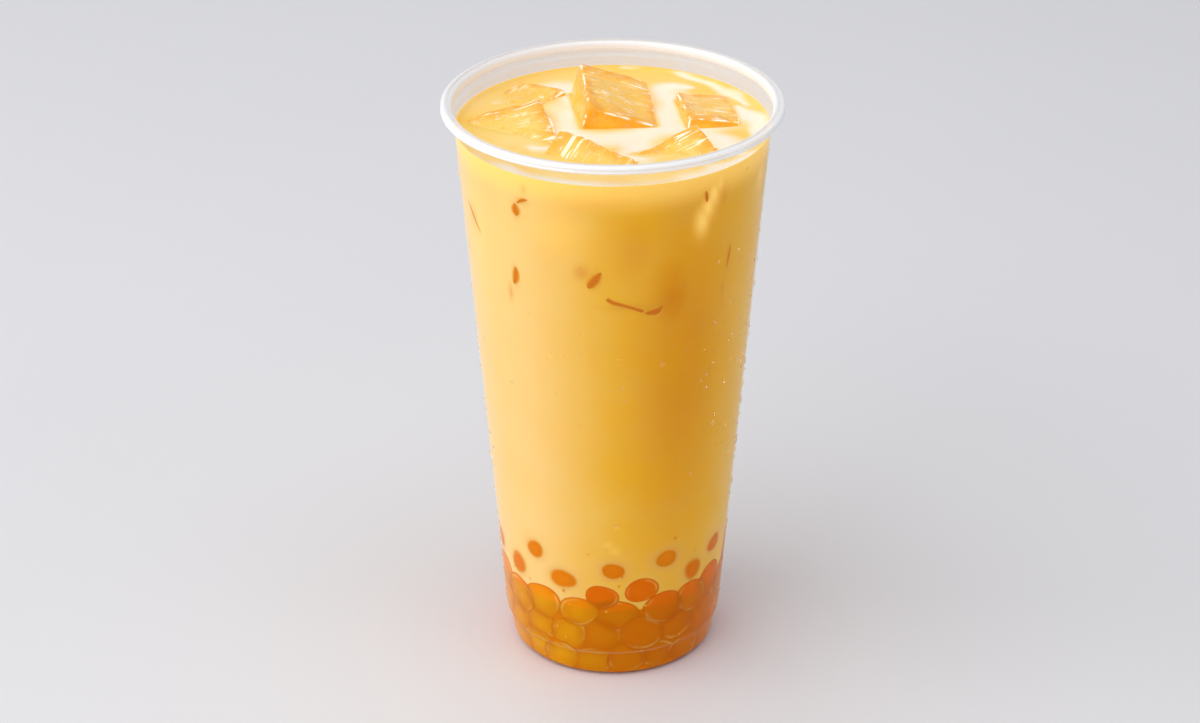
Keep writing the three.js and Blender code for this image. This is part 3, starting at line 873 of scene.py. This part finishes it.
streak_parts = [streak(path) for path in STREAKS]
streak_rows = [len(points) for points, edge_share in streak_parts]
streak_starts = np.cumsum([0, *streak_rows]) * STREAK_COLUMNS
streak_points = np.vstack([points.reshape(-1, 3) for points, edge_share in streak_parts])
streak_faces = np.vstack([grid_faces(rows, STREAK_COLUMNS) + start
                          for rows, start in zip(streak_rows, streak_starts)])
streak_edge = np.concatenate([edge_share.ravel() for points, edge_share in streak_parts])
streak_mesh = make_mesh("sunken_ice", streak_points, streak_faces,
                        {"edge": streak_edge, "tone": 0 * streak_edge})
streak_amber = amber("streak_amber", SUNKEN_DEEP, SUNKEN_PALE, SUNKEN_EDGE, TEA_AROUND, 0.4,
                     depth=0.2)
show_piece("sunken_ice", streak_mesh, streak_amber)

# %% [markdown]
# The tea's colour changes over its surface. On top, cream runs in rivers between the ice
# blocks and along the wall. At the wall the tea is painted pale in a band under the surface, as
# painted light, and in a streak on the right, as a painted highlight. It is deeper where ice lies
# just behind it, and painted deeper on the right, as painted shade. Next to the pearls it is
# paler, a painted glow from them, with a brownish blur round each loose one, and soft painted
# shadows lie round the sunken ice. The side to the left is painted paler as well, as painted
# light: the photograph shows more of that than the lamps alone give. The masks are worked out from
# the distance of each point to those things.

# %% Tea masks
FAR = 99.0
WALL_AT_PEARLS = 33  # about the wall's radius where the loose pearls are
BLUR_WIDTH, GLOW_WIDTH = 1.1, 2.4
RIVER_DRIFT = 1.3
# Painted light: a pale band under the tea's surface at the wall, its depth in millimetres and its
# strength.
CROWN_DEPTH, CROWN_STRENGTH = 9, 0.8
# Deeper tea where ice lies just behind the wall, and, in the large patches on the right, painted
# shade on the side away from the key lamp.
DEEP_PATCHES = [
    # angle, height, half width in degrees, half height, strength
    (22, 154, 9, 8, 0.35), (30, 143.5, 5, 4, 0.5), (43.5, 156, 3.5, 7, 0.6), (9, 143, 12, 13, 0.5),
    (24, 128, 12, 17, 1.0), (30, 105, 23, 60, 0.85), (-4, 158, 16, 2.5, 0.4),
    (130, 150, 12, 8, 0.8), (185, 146, 14, 9, 0.6), (240, 152, 10, 8, 0.6),
]
# Painted light: a painted highlight in the pale streak on the right, and pale patches on the left
# side and elsewhere.
PAINTED_LIGHT_PATCHES = [
    # the same five values
    (41.5, 160, 2.6, 4.2, 0.9), (38.6, 156.6, 2.8, 4.2, 1.0), (36.4, 153.2, 3.1, 4.2, 1.0),
    (34.2, 149.2, 3.3, 4.6, 0.95),
    (-30, 160.5, 32, 2.6, 0.5), (-62, 140, 9, 22, 0.3),
    (-21, 148, 12, 7, 0.3), (1, 45.5, 2.2, 1.3, 0.35), (-2, 47.5, 1.8, 1.2, 0.3),
    (70, 155, 4, 5, 0.5), (-45, 140, 14, 16, 0.15), (150, 153, 3, 6, 0.8),
]
SHADOW_PATCHES = [
    # the same five values
    (-11.5, 136.6, 3.0, 2.2, 0.7), (-43.0, 125.6, 1.2, 2.6, 0.7), (22.4, 127.0, 2.6, 0.9, 0.55),
    (47.6, 125.0, 0.6, 4.5, 0.6), (-77.0, 130.8, 1.2, 2.6, 0.6), (6, 126.0, 9, 1.0, 0.5),
    (-33.2, 158.9, 1.2, 1.4, 0.5), (-7.2, 134.2, 2.4, 2.2, 0.9), (16.0, 124.4, 3.4, 1.3, 0.9),
    (-37.2, 152.0, 1.6, 2.2, 0.9), (-34.6, 155.2, 2.6, 1.0, 0.7), (-39.9, 131.4, 1.5, 2.8, 0.9),
    (49.4, 135.0, 1.2, 3.6, 0.6), (35.3, 156.2, 1.2, 2.0, 0.6), (-64.5, 142.8, 3.0, 3.4, 0.5),
]
CREAM_RIVERS = [
    # points of [x, y, half width] on the tea's top
    [(-32, 17, 0.8), (-21, 25, 2.6), (-13, 27, 3.2), (-11.5, 10, 3.4), (-12.5, -5, 3.2),
     (-3, -9.5, 3.4), (6, -7.5, 3.6), (15, 1, 3.8), (16, 14, 3.4), (14.5, 26, 3.2), (21, 28, 1)],
    [(15, 0, 3.4), (24, 0, 3.6), (32, 3, 2.4), (38.5, 6, 1.2)],
    [(5, -9, 3.4), (6, -19, 3), (4, -30, 2)],
    [(24, -3, 3), (30, -11, 3), (34, -18, 1.5)],
    [(2, 43.5, 0.6), (15, 41, 0.9), (24, 35.5, 1), (32.5, 26.6, 1.1), (38, 16, 0.7)],
    [(35, 14, 1), (39, 5, 2), (40.5, -6, 1.4)],
    [(-14, -4, 3), (-17, -12, 2.5), (-22, -16, 1)],
    [(-37, -22, 1.5), (-27, -34, 2.4), (-13, -41, 2.6), (2, -43, 2.6), (17, -39.5, 2.6),
     (30, -31, 2.4), (38, -19, 1.2)],
]


def river_distance(points):
    """Half widths from each point to the nearest river's middle line: the distance to each
    span of the line, over the width at the nearest place on it."""
    nearest = np.full(len(points), FAR)
    for river in CREAM_RIVERS:
        line = curve(river, 3)
        for start, end in zip(line[:-1], line[1:]):
            span = end[:2] - start[:2]
            share = np.clip((points[:, :2] - start[:2]) @ span / (span @ span), 0, 1)
            away = np.linalg.norm(points[:, :2] - start[:2] - share[:, None] * span, axis=1)
            nearest = np.minimum(nearest, away / (start[2] + share * (end[2] - start[2])))
    return nearest


def patches(angle, height, places):
    """The strongest of a few soft ellipses at each point: strength e^(-d^2)."""
    value = np.zeros(len(angle))
    for where, level, wide, tall, strength in places:
        aside = (angle - where + 180) % 360 - 180
        bell = strength * np.exp(-(aside / wide) ** 2 - ((height - level) / tall) ** 2)
        value = np.maximum(value, bell)
    return value


def pearl_distance(angle, height, places):
    """Millimetres from each point to the outline of the nearest pressed pearl."""
    nearest = np.full(len(angle), FAR)
    for where, level, wide, tall in places[:, :4]:
        aside = np.radians((angle - where + 180) % 360 - 180) * WALL_AT_PEARLS
        share = np.hypot(aside / wide, (height - level) / tall)
        nearest = np.minimum(nearest, (share - 1) * (wide + tall) / 2)
    return nearest


def ice_distance(points):
    """Millimetres from each point to the nearest block, measured in the block's own axes as
    the distance to its box."""
    nearest = np.full(len(points), FAR)
    for centre, size, turn in ICE_BLOCKS.values():
        local = np.abs((points - centre) @ rotation_of(turn)) - np.array(size) / 2
        outer = np.linalg.norm(np.maximum(local, 0), axis=1)
        nearest = np.minimum(nearest, outer + np.minimum(local.max(axis=1), 0))
    return nearest


tea_at = points_of(tea_mesh)
tea_radius = np.hypot(tea_at[:, 0], tea_at[:, 1])
tea_angle = np.degrees(np.arctan2(tea_at[:, 0], -tea_at[:, 1]))
tea_height = tea_at[:, 2]
at_wall = (np.abs(tea_radius - inner_wall(tea_height) - TEA_BITE) < 0.05).astype(float)
at_top = (1 - at_wall) * (tea_height > TEA_LEVEL - 0.6)
to_ice = ice_distance(tea_at)
in_bed = (1 - at_wall) * (to_ice < 0.3)
drift = np.stack([waves(tea_at * [1, 1, 0], 12, np.random.default_rng(seed)) for seed in (8, 9)],
                 axis=1)
cream = 1 - fade(river_distance(tea_at[:, :2] + RIVER_DRIFT * drift), 0.3, 2.3)
# Painted light: the left side of the wall is painted paler.
lit = fade(-tea_angle, -8, 44) * fade(tea_angle, -175, -100)
tea_masks = {
    "cream": at_top * cream * fade(to_ice, 0.1, 1.6),
    "lit": at_wall * lit,
    "top": at_top,
    "amber": in_bed * fade(TEA_LEVEL + 0.3 - tea_height, -0.5, 2.0),
    "deep": at_wall * patches(tea_angle, tea_height, DEEP_PATCHES),
    "pale": at_wall * np.maximum(patches(tea_angle, tea_height, PAINTED_LIGHT_PATCHES),
                                 CROWN_STRENGTH * fade(tea_height, TEA_LEVEL - CROWN_DEPTH,
                                                       TEA_LEVEL)),
    "shadow": at_wall * patches(tea_angle, tea_height, SHADOW_PATCHES),
    "blur": at_wall * np.exp(-np.maximum(
        pearl_distance(tea_angle, tea_height, loose_shape * [1, 1, 0.85, 0.85, 1]), 0)
        / BLUR_WIDTH),
    "glow": at_wall * np.exp(-np.maximum(np.minimum(
        pearl_distance(tea_angle, tea_height, heap_places * [1, 1, 0.55, 0.55, 1]),
        2 + pearl_distance(tea_angle, tea_height, loose_shape)), 0) / GLOW_WIDTH),
}
set_masks(tea_mesh, tea_masks)
print({name: round(float(values.mean()), 3) for name, values in tea_masks.items()})

# %% [markdown]
# The masks only choose between a few colours of the same milky tea; faint clouds of noise
# break them up. The surface is satin under the plastic, and a little light goes into it. A
# faint painted glow of its own on the pale places and the top stands for light that has come
# through the drink from elsewhere.

# %% Tea finish
TEA_YELLOW = shade(252, 190, 46)
TEA_PALE = shade(254, 209, 104)
TEA_LIT = shade(254, 210, 134)
TEA_PAINTED_PALE = shade(255, 205, 104)
TEA_GLOW = shade(255, 207, 122)
TEA_CREAM = shade(254, 240, 218)
TEA_TOP = shade(255, 202, 84)
TEA_TOP_PALE = shade(255, 216, 136)
TEA_DEEP = shade(228, 144, 10)
TEA_AMBER = shade(255, 208, 84)
TEA_BROWN = shade(222, 136, 50)
TEA_HALO = shade(236, 156, 62)
TEA_GLOWING = 0.3

tea = Finish("milk_tea")
clouds = tea.noise(14, detail=4)
specks = tea.noise(1.3, detail=3)
colour = tea.mix((clouds * 0.9 - 0.3).clipped(), TEA_YELLOW, TEA_PALE)
colour = tea.mix((tea.mask("lit") * (clouds * 0.3 + 0.75)).clipped(), colour, TEA_LIT)
colour = tea.mix((tea.mask("glow") * 0.85).clipped(), colour, TEA_GLOW)
colour = tea.mix((tea.mask("deep") * (clouds * 0.5 + 0.6)).clipped(), colour, TEA_DEEP)
# Painted light and a painted highlight turn these places paler.
colour = tea.mix((tea.mask("pale") * 0.95).clipped(), colour, TEA_PAINTED_PALE)
top_colour = tea.mix((clouds * 2 - 0.5).clipped(), TEA_TOP, TEA_TOP_PALE)
colour = tea.mix(tea.mask("top").clipped(), colour, top_colour)
colour = tea.mix((tea.mask("cream") * (clouds * 0.5 + 0.7)).clipped(), colour, TEA_CREAM)
colour = tea.mix(tea.mask("amber").clipped(), colour, TEA_AMBER)
colour = tea.mix((tea.mask("shadow") * 0.7).clipped(), colour, TEA_BROWN)
colour = tea.mix((tea.mask("blur") * 0.62).clipped(), colour, TEA_HALO)
from_within = (tea.mask("top") * 0.2 + tea.mask("pale")).clipped()
shine = tea.mix(from_within, BLACK, colour)
tea_relief = tea.bump(specks, 0.03)
tea.finish_with(tea.surface(Base_Color=colour, Roughness=0.3 + clouds * 0.12, IOR=1.15,
                            Coat_Weight=tea.mask("top") * 0.15, Coat_Roughness=0.12,
                            Subsurface_Weight=0.3, Subsurface_Radius=(1.0, 0.6, 0.2),
                            Subsurface_Scale=0.003, Emission_Color=shine,
                            Emission_Strength=TEA_GLOWING, Normal=tea_relief))
show_piece("tea_body", tea_mesh, tea, ["milk_tea"])

# %% [markdown]
# Small things: air bubbles and crumbs of tapioca at the wall, and the beads of water that
# form on a cold cup. All are small domes on the wall, a few dozen faces each, made together
# as one array.

# %% Domes on a wall
DOME_COLUMNS, DOME_RINGS = 12, 5
DOME_FOOT = -0.3  # the closed foot of a dome, as a share of its rise


def domes(wall, places, base):
    """Places are rows of angle, height, half width, half height and rise. Ring i of a dome
    has the share q = sin of its width and cos of its rise; the last point closes the foot
    inside the wall."""
    tilt = np.linspace(0, np.pi / 2, DOME_RINGS)
    share = np.append(np.sin(tilt), 0)[None, :, None]
    rise = np.append(np.cos(tilt), DOME_FOOT)[None, :, None]
    turn = -np.linspace(0, 2 * np.pi, DOME_COLUMNS, endpoint=False)[None, None, :]
    angle, height, wide, tall, high = (places[:, i, None, None] for i in range(5))
    points = by_wall(wall, angle, height, wide * share * np.cos(turn),
                     tall * share * np.sin(turn), base + high * rise + 0 * turn)
    return points, grid_faces(DOME_RINGS + 1, DOME_COLUMNS, len(places))


CRUMB_LIFT, CRUMB_RISE = 0.66, 0.06
HEAP_CREST = 28  # a crumb below it lies among the heap's pearls, and is paler
CRUMB_BROWN = shade(226, 144, 34)
CRUMB_PALE = shade(250, 176, 80)
BUBBLES = [(3.0, 33.1), (-25.3, 29.6), (44.1, 39.9), (54.2, 30.8), (4.6, 36.4), (-22.3, 25.2),
           (-3.4, 24.0), (16.7, 25.4), (-30.1, 16.1), (-25.4, 12.8), (37.5, 11.5), (50.4, 4.3),
           (-36.4, 5.0), (-54.5, 20.9), (-46.4, 29.3), (31, 47), (-12, 44)]
crumb_draw = np.random.default_rng(17)
crumbs = np.array([*BUBBLES, *zip(crumb_draw.uniform(80, 280, 14), crumb_draw.uniform(6, 42, 14))])
crumb_size = crumb_draw.uniform(0.22, 0.42, (len(crumbs), 1))
crumb_points, crumb_faces = domes(inner_wall, np.hstack(
    [crumbs, crumb_size, crumb_size * 1.2, CRUMB_RISE + 0 * crumb_size]), CRUMB_LIFT)
crumb_tone = np.broadcast_to((crumbs[:, 1] < HEAP_CREST)[:, None, None], crumb_points.shape[:3])
crumb_mesh = make_mesh("crumbs", crumb_points, crumb_faces,
                       {"tone": crumb_tone.astype(float), "edge": 0.0 * crumb_tone})
crumb_amber = amber("crumb_amber", CRUMB_BROWN, CRUMB_PALE, CRUMB_BROWN, AMBER_SEAM, 0.9,
                    depth=0.2)
show_piece("crumbs", crumb_mesh, crumb_amber)

DROP_FIELDS = [
    # how many, middle angle, spread, middle height, spread, smallest and largest half width
    (40, -8, 10, 113, 13, 0.14, 0.36),
    (60, 54, 13, 100, 26, 0.2, 0.6),
    (60, 84, 8, 88, 36, 0.4, 1.0),
    (44, -84, 8, 60, 40, 0.3, 0.8),
    (24, 15, 30, 60, 30, 0.14, 0.34),
    (120, 180, 60, 90, 40, 0.2, 0.7),
]
PLACED_DROPS = [
    # angle, height, half width, half height, rise
    (-26.0, 108.6, 0.85, 1.05, 0.5), (20.0, 107, 0.85, 1.0, 0.5), (3.7, 100.5, 0.7, 0.8, 0.45),
    (2.4, 110, 0.5, 0.55, 0.3), (5.0, 96.5, 0.55, 0.65, 0.35), (1.8, 54.0, 0.9, 0.8, 0.35),
]
DROP_LOWEST, DROP_HIGHEST = 12, 160
drop_draw = np.random.default_rng(23)
drop_rows = [np.array(PLACED_DROPS)]
for count, angle, aside, level, above, small, large in DROP_FIELDS:
    radius = small + (large - small) * drop_draw.random((count, 1)) ** 2.5
    where = drop_draw.normal([angle, level], [aside, above], (count, 2))
    where[:, 1] = np.clip(where[:, 1], DROP_LOWEST, DROP_HIGHEST)
    drop_rows.append(np.hstack([where, radius, radius * drop_draw.uniform(0.9, 1.4, (count, 1)),
                                radius * drop_draw.uniform(0.35, 0.55, (count, 1))]))
drop_places = np.vstack(drop_rows)
drop_points, drop_faces = domes(outer_wall, drop_places, 0.0)
drop_mesh = make_mesh("water_beads", drop_points, drop_faces)

# %% [markdown]
# Water beads bend light, so they are refracting water, but thin ones mostly let the tea show
# through, so a little more than half of each is plain clear. To lamps nearly all of it is. The
# water is painted a touch of the drink's colour, standing for the drink's light seen through it,
# which keeps the drops on it from looking grey.

# %% Bead finish
water = Finish("water_bead")
ripple = water.noise(0.5, detail=2)
bead = water.surface(Base_Color=shade(255, 238, 184), Roughness=0.03 + ripple * 0.03,
                     IOR=1.22, Transmission_Weight=0.88)
for_lamps = water.node("ShaderNodeLightPath", output=1)
water.finish_with(water.blend(for_lamps * 0.4 + 0.55, bead, water.clear((1, 1, 1, 1))))
show_piece("water_beads", drop_mesh, water)

# %% [markdown]
# The cup stands on a plain pale floor, one large sheet a hair below the cup's foot. Faint
# noise in its tone and a fine grit keep it from looking drawn.

# %% Floor
FLOOR_PALE = shade(226, 226, 228)
FLOOR_GREY = shade(222, 222, 224)
FLOOR_REACH, FLOOR_CELLS, FLOOR_DROP = 2200, 8, 0.02
floor_line = np.linspace(-FLOOR_REACH, FLOOR_REACH, FLOOR_CELLS + 1)
floor_x, floor_y = np.meshgrid(floor_line, floor_line, indexing="ij")
floor_points = np.stack([floor_x, floor_y, 0 * floor_x - FLOOR_DROP], axis=-1)
floor_mesh = make_mesh("floor", floor_points, square_faces(FLOOR_CELLS, 1))
ground = Finish("floor")
tone = ground.noise(160, detail=3)
grit = ground.noise(1.5, detail=2)
ground.finish_with(ground.surface(
    Base_Color=ground.mix(tone, FLOOR_PALE, FLOOR_GREY), Roughness=0.55 + tone * 0.1,
    IOR=1.4, Normal=ground.bump(grit, 0.02)))
floor_mesh.materials.append(ground.material)
add_object("floor", floor_mesh)

# %% [markdown]
# A large soft key lamp low on the left makes the left side of the drink bright and lets the
# right side fall into deeper orange. A second large lamp nearly overhead lights the floor and
# the drink's top, a weak one on the right opens the shadow, and a small one behind puts glints
# on the wet ice. The pale room fills the rest.

# %% Lamps and room
ROOM_COLOUR = (0.93, 0.94, 1.0, 1)
ROOM_LIGHT = 0.485


def soft_lamp(name, size, power, colour, distance, angle, elevation, aim=(0, 0, 0.08)):
    """A square area lamp on a sphere round the aim point, at an angle from the front and an
    elevation, turned to face the aim."""
    data = bpy.data.lights.new(name, "AREA")
    data.shape, data.size, data.energy, data.color = "SQUARE", size, power, colour
    lamp = bpy.data.objects.new(name, data)
    bpy.context.scene.collection.objects.link(lamp)
    a, e = np.radians([angle, elevation])
    way = np.array([np.sin(a) * np.cos(e), -np.cos(a) * np.cos(e), np.sin(e)])
    lamp.location = np.array(aim) + distance * way
    lamp.rotation_euler = Euler((np.radians(90 - elevation), 0, np.radians(angle)))
    return lamp


# name, size in metres, power in watts, colour, distance, angle from the front, elevation
soft_lamp("key", 2.3, 25.6, (1.0, 0.99, 0.98), 1.7, -64, 17)
soft_lamp("top", 2.0, 12.6, (1.0, 1.0, 1.0), 1.6, -50, 76)
soft_lamp("spark", 0.22, 0.35, (1.0, 1.0, 1.0), 1.1, -155, 52)
soft_lamp("side", 1.4, 3.4, (1.0, 1.0, 1.0), 1.7, 72, 24)

room = bpy.data.worlds.new("room")
room.use_nodes = True
room.node_tree.nodes["Background"].inputs["Color"].default_value = ROOM_COLOUR
room.node_tree.nodes["Background"].inputs["Strength"].default_value = ROOM_LIGHT
bpy.context.scene.world = room

# %% [markdown]
# The camera stands in front of the cup and looks down at it. Its place, tilt and lens were
# worked out from the outlines of the rim, the foot and the sides in the photograph. The small
# shift sideways puts the cup a little right of the middle without turning it.

# %% Camera
CAMERA_BACK, CAMERA_UP, CAMERA_TILT = 0.7035, 0.4549, 27.51
SENSOR_WIDTH, LENS = 36, 82.35
SHIFT_ASIDE = -0.01067
camera_data = bpy.data.cameras.new("camera")
camera_data.sensor_width = SENSOR_WIDTH
camera_data.lens = LENS
camera_data.shift_x = SHIFT_ASIDE
camera = bpy.data.objects.new("camera", camera_data)
bpy.context.scene.collection.objects.link(camera)
camera.location = (0, -CAMERA_BACK, CAMERA_UP)
camera.rotation_euler = (np.radians(90 - CAMERA_TILT), 0, 0)
bpy.context.scene.camera = camera
bpy.context.scene.view_settings.view_transform = "Standard"
print("camera", round(float(np.hypot(CAMERA_BACK, CAMERA_UP)), 3), "m from the cup's foot")
